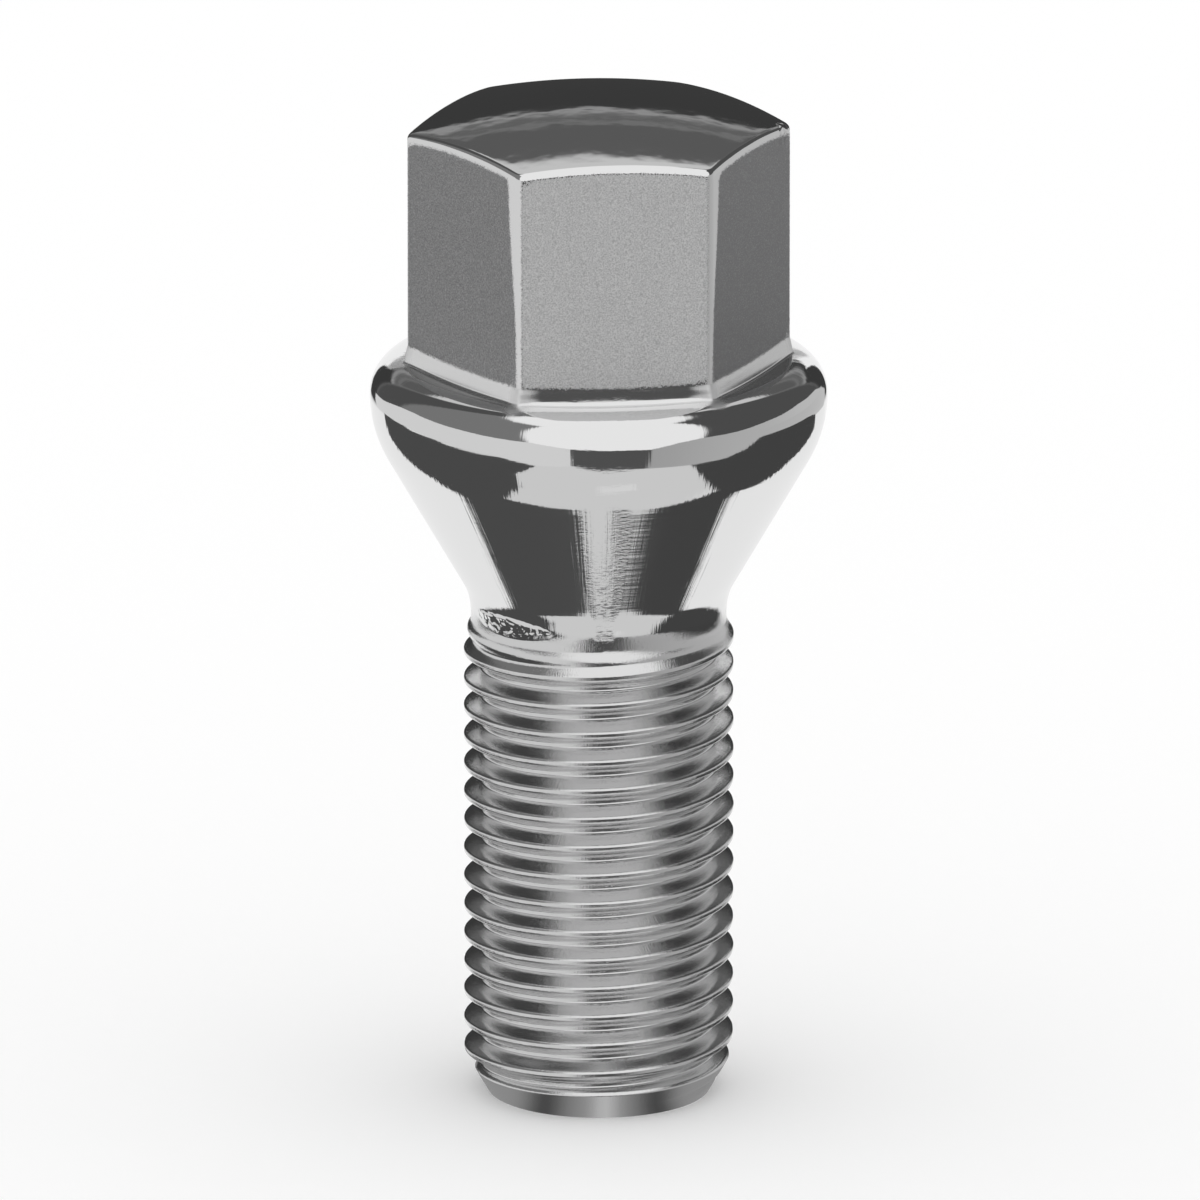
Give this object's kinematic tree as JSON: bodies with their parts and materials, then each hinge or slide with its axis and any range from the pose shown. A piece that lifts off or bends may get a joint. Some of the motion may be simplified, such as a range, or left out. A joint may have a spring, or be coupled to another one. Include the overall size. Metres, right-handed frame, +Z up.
{
  "type": "wheel bolt",
  "caption": "One-piece wheel bolt: domed hexagon head, rounded collar, conical seat, short neck and a right-hand metric thread to a chamfered end.",
  "frame": {"origin": "centre of the flat end face of the threaded shank, on the bolt's axis; the bolt stands on this face", "axes": "+Z runs up the bolt's axis from the threaded end to the domed head; one flat of the hexagon faces -Y, turned 5.5 degrees towards +X"},
  "size_m": [0.0232, 0.0232, 0.052],
  "materials": {
    "chrome_plate": "polished"
  },
  "bodies": {
    "root": {"wheel_bolt": "chrome_plate"}
  },
  "joints": []
}
